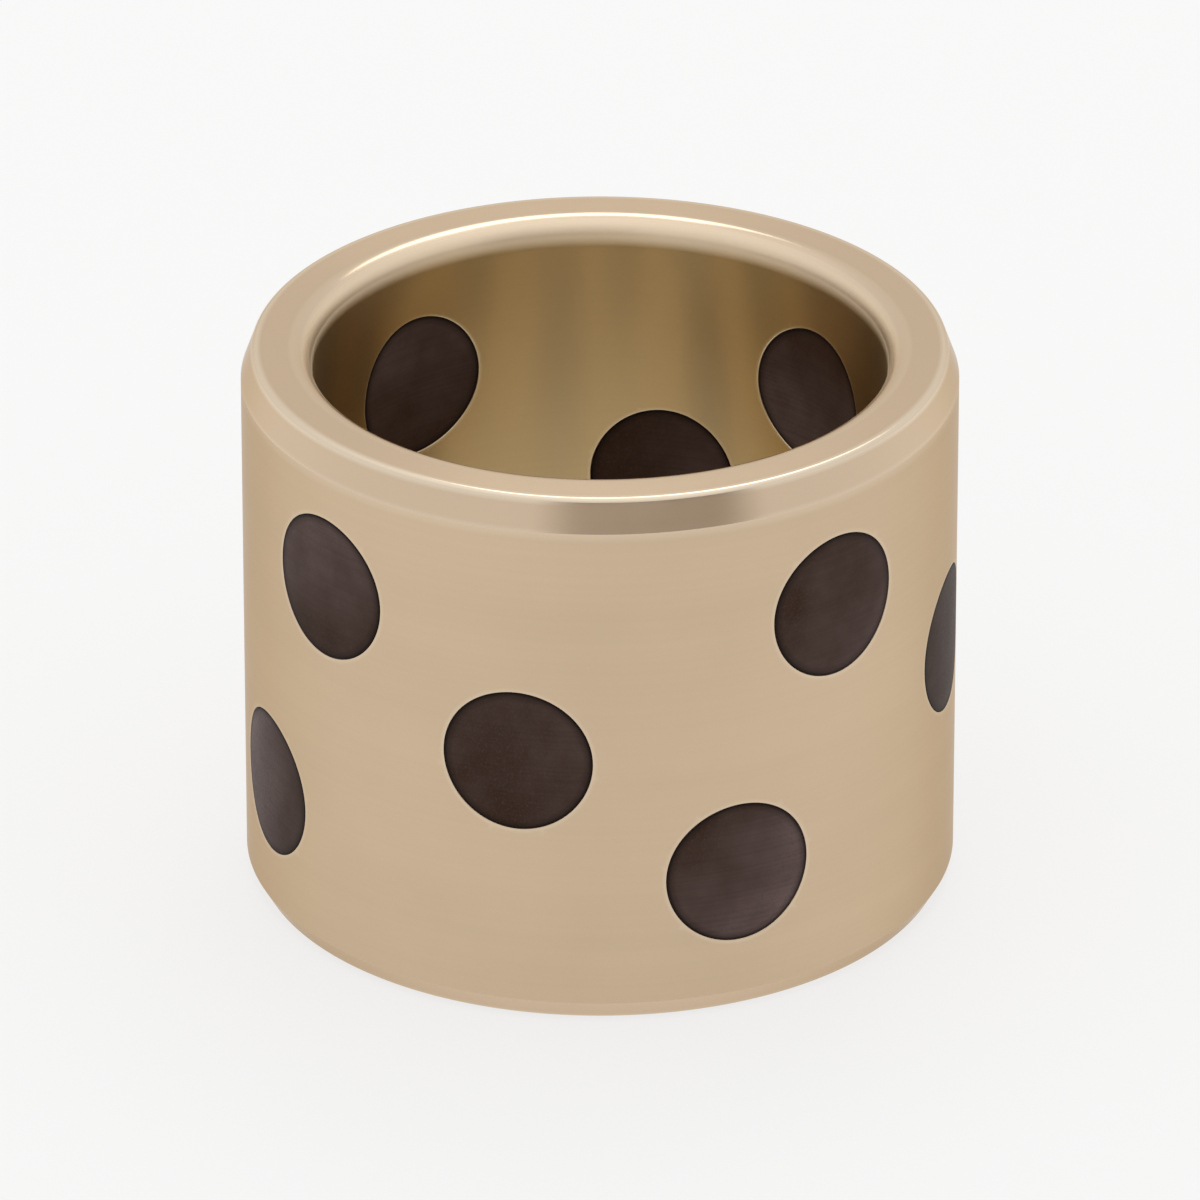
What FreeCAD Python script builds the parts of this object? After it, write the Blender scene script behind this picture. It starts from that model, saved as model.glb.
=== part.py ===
"""Graphite plugged bushing: a turned bronze sleeve that runs dry on the graphite set into its wall.

The sleeve is pressed into a housing by its outside and carries a shaft in its bore. Three rows of graphite plugs
go right through the wall. Each row is turned round the axis from the one above, so that every line along the shaft
is greased as it turns. The plugs are glued into drilled holes and machined together with the sleeve, so both of
their ends follow its round walls.

Millimetres. The origin is the middle of the lower end face, +Z runs along the bore towards the lead-in end, and the
first plug of the top row looks along +X.
"""

import FreeCAD
import Part

import math
import os

# Sleeve
bore_diameter = 40.0
wall_thickness = 5.0
length = 40.0

# Lead-in: the long chamfer round the upper outside edge that starts the sleeve into its housing
lead_in_length = 2.3
lead_in_angle = 20.0  # degrees from the axis

# Lower end: a short chamfer round the outside, and a 45 degree one round the bore, given by its leg
base_chamfer_length = 1.4
base_chamfer_angle = 30.0  # degrees from the axis
base_mouth_chamfer = 1.2

# Polished edges of the upper end face, as radii
lead_in_round = 0.4  # where the face runs into the lead-in
mouth_round = 1.2  # where the face rolls over into the bore, which leads the shaft in

# Graphite plugs
hole_diameter = 10.5
glue_film = 0.02  # between plug and hole, on the radius
plugs_in_row = 4
row_names = ["top", "middle", "base"]
top_row_depth = 10.7  # from the upper end face to the middle of the top row
base_row_height = 10.7  # from the lower end face to the middle of the base row
row_twist = 36.0  # degrees from each row to the one below

bore_radius = bore_diameter / 2
outer_radius = bore_radius + wall_thickness
lead_in_depth = lead_in_length * math.tan(math.radians(lead_in_angle))
base_chamfer_depth = base_chamfer_length * math.tan(math.radians(base_chamfer_angle))
hole_radius = hole_diameter / 2
plug_radius = hole_radius - glue_film
row_pitch = (length - top_row_depth - base_row_height) / (len(row_names) - 1)
plug_pitch = 360.0 / plugs_in_row

UP = FreeCAD.Vector(0, 0, 1)
ORIGIN = FreeCAD.Vector(0, 0, 0)
PARTS_FOLDER = "parts"


def turned_outline(corners):
    """A closed wire in the XZ plane through corners given as (radius, height, rounding), sharp where that is 0."""
    points = [FreeCAD.Vector(radius, 0, height) for radius, height, _ in corners]
    bends = []
    for index, point in enumerate(points):
        rounding = corners[index][2]
        to_last = (points[index - 1] - point).normalize()
        to_next = (points[(index + 1) % len(points)] - point).normalize()
        half_angle = to_last.getAngle(to_next) / 2
        reach = rounding / math.tan(half_angle)
        inset = rounding / math.sin(half_angle) - rounding
        middle = point + (to_last + to_next).normalize() * inset
        bends.append((point + to_last * reach, middle, point + to_next * reach))
    edges = []
    for index, (start, middle, end) in enumerate(bends):
        edges.append(Part.LineSegment(bends[index - 1][2], start).toShape())
        if corners[index][2] > 0:
            edges.append(Part.Arc(start, middle, end).toShape())
    return Part.Wire(edges)


def turned_sleeve():
    """The sleeve as it leaves the lathe, before its wall is drilled."""
    corners = [
        (bore_radius + base_mouth_chamfer, 0, 0),
        (outer_radius - base_chamfer_depth, 0, 0),
        (outer_radius, base_chamfer_length, 0),
        (outer_radius, length - lead_in_length, 0),
        (outer_radius - lead_in_depth, length, lead_in_round),
        (bore_radius, length, mouth_round),
        (bore_radius, base_mouth_chamfer, 0),
    ]
    return Part.Face(turned_outline(corners)).revolve(ORIGIN, UP, 360)


def radial_rod(radius, angle, height):
    """A rod that starts on the axis at a height and runs out past the wall, at an angle from +X."""
    direction = FreeCAD.Vector(math.cos(math.radians(angle)), math.sin(math.radians(angle)), 0)
    reach = outer_radius + wall_thickness
    return Part.makeCylinder(radius, reach, UP * height, direction)


def plug_places():
    """Yields the name, the angle and the height of each plug, from the top row down."""
    for row, row_name in enumerate(row_names):
        height = length - top_row_depth - row * row_pitch
        for number in range(plugs_in_row):
            angle = row * row_twist + number * plug_pitch
            yield f"graphite_plug_{row_name}_{number + 1}", angle, height


def plain_wall():
    """The wall without its chamfers, from the bore to the outside: what the plugs are machined flush with."""
    outside = Part.makeCylinder(outer_radius, length)
    bore = Part.makeCylinder(bore_radius, length)
    return outside.cut(bore)


def drilled_sleeve():
    """The finished bronze body, with a radial hole through its wall for each plug."""
    drills = [radial_rod(hole_radius, angle, height) for _, angle, height in plug_places()]
    return turned_sleeve().cut(drills)


def graphite_plug(wall, angle, height):
    """One plug, with its outer end on the outside of the wall and its inner end on the bore."""
    return wall.common(radial_rod(plug_radius, angle, height))


def save(shape, node):
    """Writes the only solid of a shape as one sub-part."""
    solid = shape.Solids[0]
    if len(shape.Solids) != 1 or not solid.isValid():
        raise ValueError(f"{node} isn't one valid solid")
    solid.exportStep(os.path.join(PARTS_FOLDER, f"{node}.step"))


os.makedirs(PARTS_FOLDER, exist_ok=True)
save(drilled_sleeve(), "bronze_sleeve")
wall = plain_wall()
for plug_name, plug_angle, plug_height in plug_places():
    save(graphite_plug(wall, plug_angle, plug_height), plug_name)
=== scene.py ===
import math
import random

import bpy
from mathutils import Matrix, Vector
from mathutils.geometry import delaunay_2d_cdt


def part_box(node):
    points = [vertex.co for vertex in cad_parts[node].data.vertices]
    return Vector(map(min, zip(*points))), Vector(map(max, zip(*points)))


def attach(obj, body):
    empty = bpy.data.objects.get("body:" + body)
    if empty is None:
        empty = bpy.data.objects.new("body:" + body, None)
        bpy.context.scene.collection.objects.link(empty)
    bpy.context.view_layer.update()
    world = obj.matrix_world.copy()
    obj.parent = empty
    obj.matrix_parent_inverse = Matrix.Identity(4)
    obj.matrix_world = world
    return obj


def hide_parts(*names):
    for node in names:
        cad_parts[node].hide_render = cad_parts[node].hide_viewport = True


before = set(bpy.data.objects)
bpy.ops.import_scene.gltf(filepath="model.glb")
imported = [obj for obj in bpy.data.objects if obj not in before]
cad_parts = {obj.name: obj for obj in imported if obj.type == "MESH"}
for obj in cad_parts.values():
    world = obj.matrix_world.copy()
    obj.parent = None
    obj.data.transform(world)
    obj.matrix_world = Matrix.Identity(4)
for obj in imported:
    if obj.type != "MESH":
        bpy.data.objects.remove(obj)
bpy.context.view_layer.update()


# Bronze sleeve
# Turned from cast bronze bar, then drilled through for the plugs. The bore and the outside are finished to size
# with the plugs in place, the upper face and its two edges are polished, and every other edge is as the tool left it.

mm = 0.001
_, sleeve_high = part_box("bronze_sleeve")
outer_radius = sleeve_high.x
sleeve_length = sleeve_high.z
wall_thickness = 5 * mm
bore_radius = outer_radius - wall_thickness

# A long lead-in chamfer round the top, a short chamfer round the foot, and one at the lower end of the bore
lead_in_length = 2.3 * mm
lead_in_depth = lead_in_length * math.tan(math.radians(20))
lead_in_foot = sleeve_length - lead_in_length
base_chamfer_length = 1.4 * mm
base_chamfer_depth = base_chamfer_length * math.tan(math.radians(30))
base_mouth_chamfer = 1.2 * mm

# Edges as the tool leaves them, painted a little paler than the walls as a painted highlight, and the band beside
# each edge over which that highlight fades
tool_edge = 0.07 * mm
hole_edge = 0.08 * mm
tool_edge_polish_and_highlight = 0.3
highlight_fade_width = 0.3 * mm

# Polished edges of the upper face, painted paler as a painted highlight. The mouth's round stops short of the bore by
# a lean, and after a short straight a larger round runs out into the bore.
lead_in_round = 0.4 * mm
mouth_round = 1.4 * mm
mouth_lean = math.radians(14)
mouth_straight = 0.02 * mm
run_out_round = 4.5 * mm
run_out_slope = (
    mouth_straight
    + mouth_round * math.tan(math.radians(45) - mouth_lean / 2)
    + run_out_round * math.tan(mouth_lean / 2)
)

# Holes for the plugs, in three rows that are each twisted from the row above
hole_radius = 5.25 * mm
plugs_in_row = 4
plug_pitch = 90  # degrees
row_twist = 36  # degrees

plug_places = {}
for row, row_name in enumerate(("top", "middle", "base")):
    for number in range(plugs_in_row):
        node = f"graphite_plug_{row_name}_{number + 1}"
        low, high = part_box(node)
        plug_places[node] = (math.radians(row * row_twist + number * plug_pitch), (low.z + high.z) / 2)

# How finely the mesh is divided. Each wall is unrolled from a seam that is clear of every hole, and its grid keeps
# some way off the holes.
columns = 240
wall_rows = 48
hole_steps = 96
edge_steps = 3
lead_in_steps = 8
mouth_steps = 16
run_out_steps = 10
seam = math.radians(18)
grid_to_hole = 0.75 * mm
same_spot = 1e-7  # mm on the unrolled wall

up = Vector((0, 0, 1))


class Surface:
    """Points with their true normals and finishes, such as how much polishing and painted highlight they carry, and
    the faces between them.
    """

    def __init__(self, finish_names):
        self.points = []
        self.normals = []
        self.finishes = {name: [] for name in finish_names}
        self.faces = []

    def add(self, point, normal, **finishes):
        self.points.append(point)
        self.normals.append(normal)
        for name, values in self.finishes.items():
            values.append(finishes.get(name, 0.0))
        return len(self.points) - 1

    def strips(self, rings):
        """Quads between each closed ring of points and the next."""
        for first, second in zip(rings, rings[1:]):
            for index in range(len(first)):
                following = (index + 1) % len(first)
                self.faces.append((first[index], first[following], second[following], second[index]))

    def piece(self, name, material):
        mesh = bpy.data.meshes.new(name)
        mesh.from_pydata(self.points, [], self.faces)
        mesh.shade_smooth()
        mesh.normals_split_custom_set_from_vertices(self.normals)
        for finish, values in self.finishes.items():
            mesh.attributes.new(finish, "FLOAT", "POINT").data.foreach_set("value", values)
        mesh.materials.append(material)
        made = bpy.data.objects.new(name, mesh)
        bpy.context.scene.collection.objects.link(made)
        return made


def around(radius, angle, height):
    """A point at a radius, an angle and a height. around(1, angle, 0) is the direction out from the axis."""
    return Vector((radius * math.cos(angle), radius * math.sin(angle), height))


def turned_profile(corners):
    """The sleeve's section, corner by corner: lists of (point, normal, polishing and painted highlight) round each
    rounding.
    """
    bends = []
    for index, (corner, rounding, steps, first_polish_and_highlight, last_polish_and_highlight) in enumerate(corners):
        before = (corner - corners[index - 1][0]).normalized()
        after = (corners[(index + 1) % len(corners)][0] - corner).normalized()
        turn = -before.angle_signed(after)  # angle_signed counts clockwise
        outward = Vector((before.y, -before.x))
        start = corner - before * rounding * math.tan(turn / 2)
        centre = start - outward * rounding
        bend = []
        for step in range(steps + 1):
            swing = turn * step / steps
            normal = Vector((
                outward.x * math.cos(swing) - outward.y * math.sin(swing),
                outward.x * math.sin(swing) + outward.y * math.cos(swing),
            ))
            polish = first_polish_and_highlight + (last_polish_and_highlight - first_polish_and_highlight) * step / steps
            bend.append((centre + normal * rounding, normal, polish))
        bends.append(bend)
    return bends


# From the foot outwards, up the outside and down the bore
# The last two numbers of each corner are its polishing, which also paints that edge paler as a painted highlight
section = turned_profile([
    (Vector((bore_radius + base_mouth_chamfer, 0)), tool_edge, edge_steps, tool_edge_polish_and_highlight, tool_edge_polish_and_highlight),
    (Vector((outer_radius - base_chamfer_depth, 0)), tool_edge, edge_steps, tool_edge_polish_and_highlight, tool_edge_polish_and_highlight),
    (Vector((outer_radius, base_chamfer_length)), tool_edge, edge_steps, 0.0, 0.0),
    (Vector((outer_radius, lead_in_foot)), tool_edge, edge_steps, tool_edge_polish_and_highlight, tool_edge_polish_and_highlight),
    (Vector((outer_radius - lead_in_depth, sleeve_length)), lead_in_round, lead_in_steps, 0.8, 0.8),
    # The mouth's round and the run-out below it are partly a rougher polish and partly a painted highlight that makes
    # the top of the bore near white
    (
        Vector((bore_radius + run_out_slope * math.sin(mouth_lean), sleeve_length)),
        mouth_round, mouth_steps, 1.0, 0.9,
    ),
    (
        Vector((bore_radius, sleeve_length - run_out_slope * math.cos(mouth_lean))),
        run_out_round, run_out_steps, 0.9, 0.0,
    ),
    (Vector((bore_radius, base_mouth_chamfer)), tool_edge, edge_steps, tool_edge_polish_and_highlight, tool_edge_polish_and_highlight),
])

# The two walls that are drilled, by the corner of the section that each starts from
outside_wall = 2
bore_wall = 6

sleeve = Surface(["polish", "faced"])


def ring(point, normal, polish):
    """One turn of points round the sleeve, marked where it is part of an end face or a chamfer, which are cut across
    and painted lighter.
    """
    off_the_bore = point.x > bore_radius + 0.1 * mm
    # End faces and chamfers are painted lighter: partly their faced finish, partly painted light on the foot chamfer,
    # which mirrors the shadow on the table
    faced = float(off_the_bore and not base_chamfer_length < point.y < lead_in_foot)
    made = []
    for column in range(columns):
        angle = seam + 2 * math.pi * column / columns
        made.append(sleeve.add(
            around(point.x, angle, point.y),
            around(normal.x, angle, normal.y),
            polish=polish,
            faced=faced,
        ))
    return made


bend_rings = [[ring(*place) for place in bend] for bend in section]
for rings in bend_rings:
    sleeve.strips(rings)
for index, bend in enumerate(section):
    if index in (outside_wall, bore_wall):
        continue
    following = (index + 1) % len(section)
    start, normal, _ = bend[-1]
    run = section[following][0][0] - start
    stops = ()
    if run.length > 3 * highlight_fade_width:
        stops = (highlight_fade_width, run.length / 2, run.length - highlight_fade_width)
    between = [ring(start + run.normalized() * along, normal, 0.0) for along in stops]
    sleeve.strips([bend_rings[index][-1], *between, bend_rings[following][0]])


def past_seam(angle):
    """The same direction, counted on from the seam."""
    while angle < seam:
        angle += 2 * math.pi
    return angle


def to_nearest_hole(radius, angle, height):
    """How far a place on a wall is from the middle of the nearest hole, along the wall."""
    return min(
        math.hypot(radius * math.remainder(angle - hole_angle, 2 * math.pi), height - hole_height)
        for hole_angle, hole_height in plug_places.values()
    )


def drilled_wall(radius, low_ring, high_ring, facing):
    """Fills the wall between two rings of points, with a hole for each plug. Returns the rims of the holes.

    The wall is unrolled from the seam and laid out flat, in mm: a grid of spots that stops short of the holes, and
    two circles round each hole. The spots are joined by triangles, and each spot knows its point on the sleeve.
    """
    low = sleeve.points[low_ring[0]].z
    high = sleeve.points[high_ring[0]].z
    spots = []
    owners = []
    rims = {}
    rim_edges = []

    def lay_out(angle, height, owner):
        spots.append(Vector((angle * radius / mm, height / mm)))
        owners.append(owner)

    def wall_point(angle, height, polish):
        return sleeve.add(around(radius, angle, height), around(1, angle, 0) * facing, polish=polish)

    def circle(hole_angle, hole_height, clearance, steps, polish):
        reach = hole_radius + clearance
        for step in range(steps):
            turn = 2 * math.pi * step / steps
            angle = past_seam(hole_angle) + math.asin(reach * math.cos(turn) / radius)
            height = hole_height + reach * math.sin(turn)
            lay_out(angle, height, wall_point(angle, height, polish))

    for row in range(wall_rows + 1):
        height = low + (high - low) * row / wall_rows
        for column in range(columns + 1):
            angle = seam + 2 * math.pi * column / columns
            if row == 0:
                owner = low_ring[column % columns]
            elif row == wall_rows:
                owner = high_ring[column % columns]
            elif to_nearest_hole(radius, angle, height) < hole_radius + grid_to_hole:
                continue
            elif column == columns:
                owner = first_in_row
            else:
                owner = wall_point(angle, height, 0.0)
                if column == 0:
                    first_in_row = owner
            lay_out(angle, height, owner)

    for node, (hole_angle, hole_height) in plug_places.items():
        first = len(spots)
        # The rims of the holes carry the painted highlight of the tool's edges
        circle(hole_angle, hole_height, hole_edge, hole_steps, tool_edge_polish_and_highlight)
        rims[node] = owners[first:]
        rim_edges += [(first + step, first + (step + 1) % hole_steps) for step in range(hole_steps)]
        circle(hole_angle, hole_height, hole_edge + highlight_fade_width, hole_steps // 2, 0.0)

    holes = [
        (past_seam(hole_angle) * radius / mm, hole_height / mm)
        for hole_angle, hole_height in plug_places.values()
    ]

    def in_hole(spot):
        return any(
            math.hypot(radius / mm * math.sin((spot.x - x) * mm / radius), spot.y - y)
            < (hole_radius + hole_edge) / mm
            for x, y in holes
            if abs(spot.x - x) < 2 * hole_radius / mm
        )

    corners, _, triangles, origins, _, _ = delaunay_2d_cdt(spots, rim_edges, [], 0, same_spot)
    for triangle in triangles:
        if not in_hole(sum((corners[corner] for corner in triangle), Vector((0, 0))) / 3):
            face = [owners[origins[corner][0]] for corner in triangle]
            sleeve.faces.append(tuple(face if facing > 0 else reversed(face)))
    return rims


outer_rims = drilled_wall(outer_radius, bend_rings[outside_wall][-1], bend_rings[outside_wall + 1][0], 1)
inner_rims = drilled_wall(bore_radius, bend_rings[bore_wall + 1][0], bend_rings[bore_wall][-1], -1)


def turned_down_edge(surface, rim, radius, place, reach, edge, facing, inward, **more):
    """Rings that roll an edge over from a round wall into the side of a hole, or of a plug."""
    angle, height = place
    along = around(1, angle, 0)
    across = around(1, angle + math.pi / 2, 0)
    rings = [rim]
    for step in range(1, edge_steps + 1):
        swing = math.pi / 2 * step / edge_steps
        made = []
        for turn_step in range(hole_steps):
            turn = 2 * math.pi * turn_step / hole_steps
            spoke = across * math.cos(turn) + up * math.sin(turn)
            offset = reach + inward * edge * (1 - math.sin(swing))
            side = offset * math.cos(turn)
            wall_depth = math.sqrt(radius ** 2 - side ** 2)
            depth = wall_depth - facing * edge * (1 - math.cos(swing))
            point = along * depth + spoke * offset + up * height
            wall_normal = (along * wall_depth + across * side) / radius * facing
            normal = wall_normal * math.cos(swing) - spoke * inward * math.sin(swing)
            made.append(surface.add(point, normal.normalized(), polish=tool_edge_polish_and_highlight, stain=1.0, **more))
        rings.append(made)
    return rings


for node, place in plug_places.items():
    outer = turned_down_edge(sleeve, outer_rims[node], outer_radius, place, hole_radius, hole_edge, 1, 1)
    inner = turned_down_edge(sleeve, inner_rims[node], bore_radius, place, hole_radius, hole_edge, -1, 1)
    sleeve.strips(outer + inner[::-1])


class Bench:
    """Adds nodes to a tree and joins them up."""

    def __init__(self, tree):
        self.tree = tree

    def add(self, kind, **settings):
        node = self.tree.nodes.new(kind)
        for name, value in settings.items():
            setattr(node, name, value)
        return node

    def add_group(self, group, numbers):
        node = self.add("ShaderNodeGroup", node_tree=group)
        for name, number in numbers.items():
            node.inputs[name].default_value = number
        return node

    def feed(self, socket, value):
        if isinstance(value, bpy.types.NodeSocket):
            self.tree.links.new(value, socket)
        else:
            socket.default_value = value

    def reckon(self, operation, *values, clamp=False):
        node = self.add("ShaderNodeMath", operation=operation, use_clamp=clamp)
        for socket, value in zip(node.inputs, values):
            self.feed(socket, value)
        return node.outputs[0]

    def plus(self, first, second):
        return self.reckon("ADD", first, second)

    def times(self, first, second):
        return self.reckon("MULTIPLY", first, second)

    def spread(self, value, low, high, new_low, new_high):
        node = self.add("ShaderNodeMapRange", clamp=True)
        for socket, number in zip(node.inputs, (value, low, high, new_low, new_high)):
            self.feed(socket, number)
        return node.outputs[0]

    def tint(self, amount, first, second):
        """From the first colour to the second. A Mix node's colour sockets come after its other kinds."""
        node = self.add("ShaderNodeMix", data_type="RGBA")
        self.feed(node.inputs["Factor"], amount)
        self.feed(node.inputs[6], first)
        self.feed(node.inputs[7], second)
        return node.outputs[2]

    def noise(self, vector, scale, detail, roughness=0.5):
        node = self.add("ShaderNodeTexNoise")
        self.feed(node.inputs["Vector"], vector)
        self.feed(node.inputs["Scale"], scale)
        self.feed(node.inputs["Detail"], detail)
        self.feed(node.inputs["Roughness"], roughness)
        return node.outputs["Fac"]

    def bump(self, height, strength, distance):
        node = self.add("ShaderNodeBump")
        node.inputs["Strength"].default_value = strength
        node.inputs["Distance"].default_value = distance
        self.feed(node.inputs["Height"], height)
        return node.outputs[0]

    def carried(self, finish):
        """A finish that the mesh carries at each point."""
        return self.add("ShaderNodeAttribute", attribute_name=finish).outputs["Fac"]


def new_group(name, inputs, outputs):
    """A node group of numbers, with the bench for its tree and the nodes that numbers come in and go out by."""
    group = bpy.data.node_groups.new(name, "ShaderNodeTree")
    for socket_name, value in inputs.items():
        socket = group.interface.new_socket(socket_name, in_out="INPUT", socket_type="NodeSocketFloat")
        socket.default_value = value
    for socket_name in outputs:
        group.interface.new_socket(socket_name, in_out="OUTPUT", socket_type="NodeSocketFloat")
    bench = Bench(group)
    return group, bench, bench.add("NodeGroupInput"), bench.add("NodeGroupOutput")


def new_material(name):
    """A material, with the bench for its tree and its shader."""
    material = bpy.data.materials.new(name)
    material.use_nodes = True
    return material, Bench(material.node_tree), material.node_tree.nodes["Principled BSDF"]


# Marks that the lathe tool leaves, fine rings round the axis. They follow each other up the walls and, a little
# closer, across the faces, and change slowly round the sleeve.
turning, bench, asked, given = new_group(
    "Turning marks",
    {"Fine rings per mm": 5.0, "Broad rings per mm": 0.5},
    ["Fine", "Broad", "From axis in mm"],
)
parts = bench.add("ShaderNodeSeparateXYZ")
bench.feed(parts.inputs[0], bench.add("ShaderNodeTexCoord").outputs["Object"])
x, y, z = parts.outputs
from_axis = bench.reckon("SQRT", bench.plus(bench.reckon("POWER", x, 2.0), bench.reckon("POWER", y, 2.0)))
along_tool = bench.times(bench.plus(bench.times(from_axis, 1.31), z), 1 / mm)
bench.feed(given.inputs["From axis in mm"], bench.times(from_axis, 1 / mm))
for label, rings_per_mm, change_per_metre, detail in (
    ("Fine", "Fine rings per mm", 8.0, 0.0),
    ("Broad", "Broad rings per mm", 12.0, 2.0),
):
    cut = bench.add("ShaderNodeCombineXYZ")
    bench.feed(cut.inputs[0], bench.times(along_tool, asked.outputs[rings_per_mm]))
    bench.feed(cut.inputs[1], bench.times(x, change_per_metre))
    bench.feed(cut.inputs[2], bench.times(y, change_per_metre))
    bench.feed(given.inputs[label], bench.noise(cut.outputs[0], 1.0, detail))

# Soft clouds of tone from handling and from the casting, and a fine speckle
mottle, bench, asked, given = new_group(
    "Mottling",
    {"Cloud size in mm": 9.0, "Speckle size in mm": 0.2},
    ["Cloud", "Speckle"],
)
spot = bench.add("ShaderNodeTexCoord").outputs["Object"]
for label, size_in_mm in (("Cloud", "Cloud size in mm"), ("Speckle", "Speckle size in mm")):
    clouds_per_metre = bench.reckon("DIVIDE", 1 / mm, asked.outputs[size_in_mm])
    bench.feed(given.inputs[label], bench.noise(spot, clouds_per_metre, 3.0, 0.55))

duller_bronze = (0.625, 0.478, 0.327, 1)
brighter_bronze = (0.673, 0.515, 0.353, 1)
yellow_bore_bronze = (0.688, 0.528, 0.290, 1)
tool_mark_brown = (0.54, 0.40, 0.26, 1)
# Partly the faced finish, partly painted light where the foot chamfer mirrors the table's shadow
faced_bronze = (0.72, 0.565, 0.41, 1)
# Painted highlight on the polished edges
painted_edge_highlight = (0.89, 0.765, 0.61, 1)
# Painted highlight on the mouth's round and its run-out
painted_mouth_highlight = (1.0, 0.84, 0.63, 1)
bronze_sheen = (0.74, 0.66, 0.56, 1)

bronze, bench, skin = new_material("fine turned bronze")
marks = bench.add_group(turning, {"Fine rings per mm": 3.0, "Broad rings per mm": 0.3})
clouds = bench.add_group(mottle, {"Cloud size in mm": 14.0, "Speckle size in mm": 0.35})
from_axis = marks.outputs["From axis in mm"]
polish_and_highlight_mask = bench.carried("polish")
faced = bench.carried("faced")

# The bore, its mouth, the edges out beyond it, which carry a painted highlight, and the round that rolls over into
# it, which carries a painted highlight too
in_bore = bench.spread(from_axis, 20.0, 20.9, 1.0, 0.0)
in_mouth = bench.spread(from_axis, 20.3, 21.0, 1.0, 0.0)
outer_edge_highlight = bench.spread(from_axis, 22.0, 23.0, 0.2, 0.85)
rolled_over_highlight = bench.spread(polish_and_highlight_mask, 0.1, 0.7, 0.0, 1.0)

tone = bench.plus(bench.times(marks.outputs["Broad"], 0.3), bench.times(clouds.outputs["Cloud"], 0.7))
metal = bench.tint(bench.spread(tone, 0.35, 0.65, 0.0, 1.0), duller_bronze, brighter_bronze)
metal = bench.tint(in_bore, metal, yellow_bore_bronze)
metal = bench.tint(bench.spread(marks.outputs["Fine"], 0.3, 0.8, 0.0, 0.07), metal, tool_mark_brown)
# The end faces and chamfers are painted lighter: their faced finish, and painted light that lifts the foot chamfer
# where it mirrors the shadow on the table.
metal = bench.tint(bench.times(faced, 0.8), metal, faced_bronze)
# Painted highlight: the polished outer edges and the rims of the holes are painted paler than the walls.
metal = bench.tint(bench.times(polish_and_highlight_mask, outer_edge_highlight), metal, painted_edge_highlight)
# Painted highlight: the mouth's round and its run-out into the bore are painted a pale gold, nearly white.
metal = bench.tint(bench.times(rolled_over_highlight, in_bore), metal, painted_mouth_highlight)
bench.feed(skin.inputs["Base Color"], metal)
skin.inputs["Metallic"].default_value = 1.0
skin.inputs["Specular Tint"].default_value = bronze_sheen

# The walls stay rougher than 0.275.
rough = bench.plus(
    bench.spread(clouds.outputs["Cloud"], 0.3, 0.7, 0.284, 0.328),
    bench.spread(marks.outputs["Fine"], 0.2, 0.8, -0.005, 0.008),
)
rough = bench.plus(rough, bench.times(bench.times(rolled_over_highlight, in_mouth), 0.24))
rough = bench.reckon("SUBTRACT", rough, bench.times(faced, 0.10))
rough = bench.reckon("SUBTRACT", rough, bench.times(polish_and_highlight_mask, 0.05))
bench.feed(skin.inputs["Roughness"], rough)
# The fine rings draw every reflection out across the way that the tool went.
skin.inputs["Anisotropic"].default_value = 0.8
skin.inputs["Anisotropic Rotation"].default_value = 0.25
round_the_axis = bench.add("ShaderNodeTangent", direction_type="RADIAL", axis="Z").outputs[0]
bench.feed(skin.inputs["Tangent"], round_the_axis)
bench.feed(skin.inputs["Normal"], bench.bump(marks.outputs["Fine"], 0.02, 0.02 * mm))

dressed_sleeve = sleeve.piece("turned_sleeve", bronze)
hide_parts("bronze_sleeve")
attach(dressed_sleeve, "root")


# Graphite plugs
# Rods of pressed graphite, glued into the holes and cut flush with the walls in the last pass of the lathe. They
# wear a hair below the bronze, and glue darkens their edges.

glue_film = 0.02 * mm
plug_radius = hole_radius - glue_film
plug_edge = 0.06 * mm
plug_recess = 0.02 * mm
stain_width = 0.35 * mm
plug_rings = [size * mm for size in (1.3, 2.4, 3.3, 4.0, 4.6, 4.95)]

deep_graphite = (0.038, 0.017, 0.009, 1)
# Painted sheen: the paler colour that each plug takes towards one side
graphite_painted_sheen = (0.152, 0.106, 0.100, 1)
graphite_speck = (0.080, 0.056, 0.048, 1)
graphite_scratch = (0.019, 0.009, 0.007, 1)
glue_stain = (0.006, 0.003, 0.002, 1)

graphite, bench, skin = new_material("cut graphite")
marks = bench.add_group(turning, {"Fine rings per mm": 5.0})
clouds = bench.add_group(mottle, {"Cloud size in mm": 4.0, "Speckle size in mm": 0.16})
stained = bench.carried("stain")
# The carried tone is a paleness that differs at random from plug to plug, and towards one side of each plug a painted
# sheen
tone_and_painted_sheen = bench.carried("tone")
tone_with_painted_sheen = bench.plus(bench.spread(clouds.outputs["Cloud"], 0.3, 0.7, 0.0, 0.3), bench.times(tone_and_painted_sheen, 0.9))
body = bench.tint(bench.reckon("POWER", tone_with_painted_sheen, 1.4), deep_graphite, graphite_painted_sheen)
body = bench.tint(bench.spread(clouds.outputs["Speckle"], 0.5, 0.72, 0.0, 0.5), body, graphite_speck)
body = bench.tint(bench.spread(marks.outputs["Fine"], 0.4, 0.75, 0.0, 0.14), body, graphite_scratch)
body = bench.tint(bench.times(stained, 0.9), body, glue_stain)
bench.feed(skin.inputs["Base Color"], body)
bench.feed(skin.inputs["Roughness"], bench.spread(clouds.outputs["Speckle"], 0.3, 0.7, 0.44, 0.58))
skin.inputs["Specular IOR Level"].default_value = 0.08
bench.feed(skin.inputs["Normal"], bench.bump(clouds.outputs["Speckle"], 0.25, 0.02 * mm))

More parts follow.
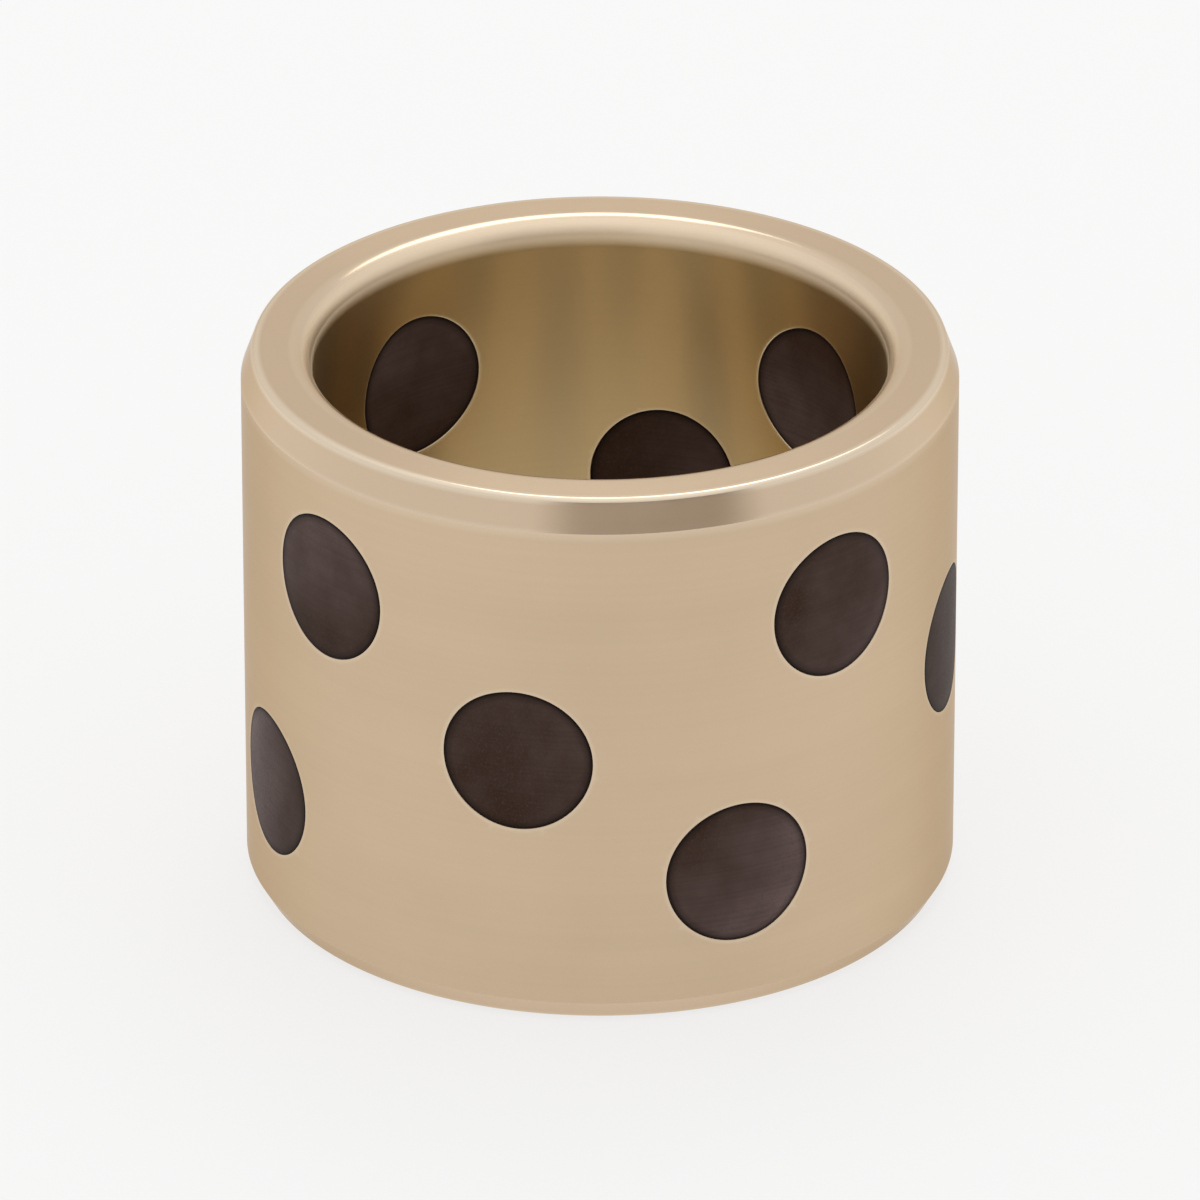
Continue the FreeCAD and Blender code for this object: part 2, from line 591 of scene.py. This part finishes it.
# Each plug gets a random paleness and a side where its painted sheen lies; the seed sets where the sheen falls on
# each plug
plug_tones_and_sheens = random.Random(497523)
for node, place in plug_places.items():
    plug = Surface(["stain", "tone"])
    paleness_and_sheen = plug_tones_and_sheens.random()
    painted_sheen_side = 2 * math.pi * plug_tones_and_sheens.random()
    angle, height = place
    along = around(1, angle, 0)
    across = around(1, angle + math.pi / 2, 0)
    ends = []
    for radius, facing in ((outer_radius - plug_recess, 1), (bore_radius + plug_recess, -1)):
        middle = plug.add(along * radius + up * height, along * facing, tone=paleness_and_sheen / 2)
        rings = []
        for reach in (*plug_rings, plug_radius - plug_edge):
            made = []
            for step in range(hole_steps):
                turn = 2 * math.pi * step / hole_steps
                side = reach * math.cos(turn)
                depth = math.sqrt(radius ** 2 - side ** 2)
                point = along * depth + across * side + up * (height + reach * math.sin(turn))
                normal = (along * depth + across * side) / radius * facing
                stain = max(0.0, 1 - (plug_radius - plug_edge - reach) / stain_width)
                # Painted sheen: each plug is paler towards one side
                tone = paleness_and_sheen * (1 + math.cos(turn - painted_sheen_side) * reach / plug_radius) / 2
                made.append(plug.add(point, normal, stain=stain, tone=tone))
            rings.append(made)
        rolled = turned_down_edge(
            plug, rings[-1], radius, place, plug_radius, plug_edge, facing, -1, tone=paleness_and_sheen / 2,
        )
        rings += rolled[1:]
        for step in range(hole_steps):
            face = (middle, rings[0][step], rings[0][(step + 1) % hole_steps])
            plug.faces.append(face if facing > 0 else face[::-1])
        for inner, outer in zip(rings, rings[1:]):
            plug.strips([outer, inner] if facing > 0 else [inner, outer])
        ends.append(rings[-1])
    outer_end, bore_end = ends
    plug.strips([bore_end, outer_end])
    dressed_plug = plug.piece(node.replace("graphite_plug", "cut_plug"), graphite)
    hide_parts(node)
    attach(dressed_plug, "root")


# Studio
# A plain pale table, a pale room round it and one large soft lamp behind the bushing, seen from a little above.
# None of it is part of the bushing.

table_half = 6.0
table_whiteness = 0.7
table_pale = (0.83, 0.828, 0.824, 1)
table_paler = (0.845, 0.843, 0.84, 1)

table_material, bench, skin = new_material("pale table")
clouds = bench.add_group(mottle, {"Cloud size in mm": 60.0, "Speckle size in mm": 1.0})
bench.feed(skin.inputs["Base Color"], bench.tint(clouds.outputs["Cloud"], table_pale, table_paler))
skin.inputs["Roughness"].default_value = 0.9
skin.inputs["Specular IOR Level"].default_value = 0.2
# The camera and the bronze see the table whiter than its own colour, and it keeps the shadow of the bushing.
seen = bench.add("ShaderNodeLightPath")
white = bench.add("ShaderNodeEmission")
paper = bench.add("ShaderNodeMixShader")
mirrored = bench.plus(seen.outputs["Is Glossy Ray"], seen.outputs["Is Transmission Ray"])
looked_at = bench.reckon("ADD", seen.outputs["Is Camera Ray"], mirrored, clamp=True)
bench.feed(paper.inputs[0], bench.times(looked_at, table_whiteness))
bench.feed(paper.inputs[1], skin.outputs[0])
bench.feed(paper.inputs[2], white.outputs[0])
bench.feed(table_material.node_tree.nodes["Material Output"].inputs["Surface"], paper.outputs[0])

table_mesh = bpy.data.meshes.new("table")
table_mesh.from_pydata(
    [(x * table_half, y * table_half, 0) for x, y in ((-1, -1), (1, -1), (1, 1), (-1, 1))],
    [], [(0, 1, 2, 3)],
)
table_mesh.materials.append(table_material)
table_top = bpy.data.objects.new("table", table_mesh)
bpy.context.scene.collection.objects.link(table_top)

view_turn = math.radians(-40.7)
view_rise = math.radians(27)
view_distance = 0.936
bushing_middle = Vector((0, 0, sleeve_length / 2))


def towards(turn, rise):
    """The direction from the bushing to what stands at a turn round it and a rise above the table."""
    return Vector((math.sin(turn) * math.cos(rise), -math.cos(turn) * math.cos(rise), math.sin(rise)))


def set_up(name, data, turn, rise, distance):
    """Stands a lamp or a camera at a turn, a rise and a distance, looking back at the middle of the bushing."""
    stand = bpy.data.objects.new(name, data)
    stand.location = bushing_middle + towards(turn, rise) * distance
    stand.rotation_mode = "QUATERNION"
    stand.rotation_quaternion = towards(turn, rise).to_track_quat("Z", "Y")
    bpy.context.scene.collection.objects.link(stand)
    return stand


room_pale = (0.82, 0.815, 0.807, 1)
ceiling_white = (1.05, 1.05, 1.05, 1)
room_dim = (0.155, 0.104, 0.062, 1)

room = bpy.data.worlds.new("room")
room.use_nodes = True
bpy.context.scene.world = room
bench = Bench(room.node_tree)
looking = bench.add("ShaderNodeTexCoord").outputs["Generated"]
direction = bench.add("ShaderNodeSeparateXYZ")
bench.feed(direction.inputs[0], looking)
rise = direction.outputs[2]
light = bench.tint(bench.spread(rise, 0.6, 1.0, 0.0, 1.0), room_pale, ceiling_white)
# A dim side of the room in front of the bushing, low down, which the lead-in mirrors as its darker middle.
front = bench.add("ShaderNodeVectorMath", operation="DOT_PRODUCT")
bench.feed(front.inputs[0], looking)
front.inputs[1].default_value = towards(view_turn + math.radians(16), 0)
dim = bench.times(
    bench.spread(front.outputs["Value"], 0.79, 0.9, 0.0, 1.0),
    bench.times(bench.spread(rise, 0.09, 0.17, 0.0, 1.0), bench.spread(rise, 0.28, 0.36, 1.0, 0.0)),
)
bench.feed(room.node_tree.nodes["Background"].inputs["Color"], bench.tint(dim, light, room_dim))

# High behind the bushing and a little to its right, where the far side of the mouth mirrors it as a white arc
back_lamp = bpy.data.lights.new("back lamp", "AREA")
back_lamp.shape = "RECTANGLE"
back_lamp.size = 0.56
back_lamp.size_y = 0.5
back_lamp.energy = 1.35
back_lamp.color = (1.0, 0.99, 0.97)
set_up("back lamp", back_lamp, view_turn + math.radians(171), math.radians(54), 1.2)

camera_data = bpy.data.cameras.new("camera")
camera_data.sensor_width = 36
camera_data.lens = 400
camera_data.clip_start = 0.01
camera_data.clip_end = 50
bpy.context.scene.camera = set_up("camera", camera_data, view_turn, view_rise, view_distance)

bpy.context.scene.view_settings.view_transform = "Standard"
